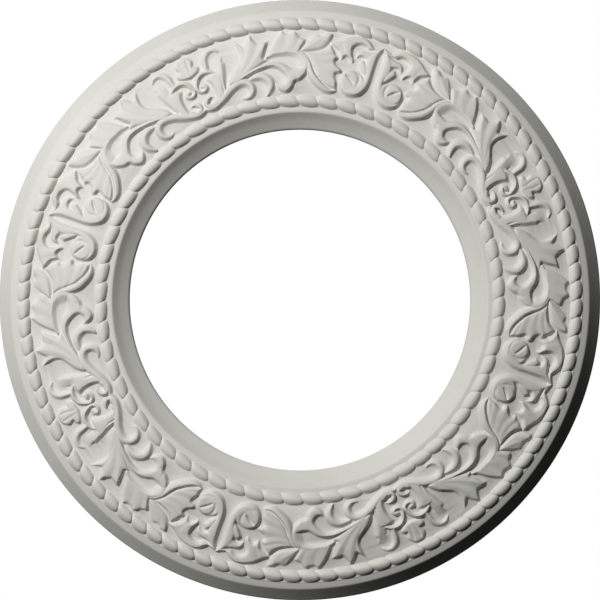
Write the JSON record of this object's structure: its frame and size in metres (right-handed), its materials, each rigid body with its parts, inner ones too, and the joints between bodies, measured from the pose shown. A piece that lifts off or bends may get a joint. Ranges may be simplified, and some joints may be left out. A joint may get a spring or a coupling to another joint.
{
  "type": "ceiling rose",
  "caption": "Round open-centred ceiling rose with two rope mouldings and a band of scrolling leaves; flat back for fixing to a ceiling.",
  "frame": {"origin": "on the ring's axis, in the plane of the flat back, where it meets the ceiling", "axes": "+Z out of the flat back, up into the ceiling; the ornament faces -Z; +X through the middle of one palmette"},
  "size_m": [0.74, 0.74, 0.0478],
  "materials": {
    "moulding": "factory-primed off-white, matt"
  },
  "bodies": {
    "root": {"ceiling_rose": "moulding"}
  },
  "joints": []
}
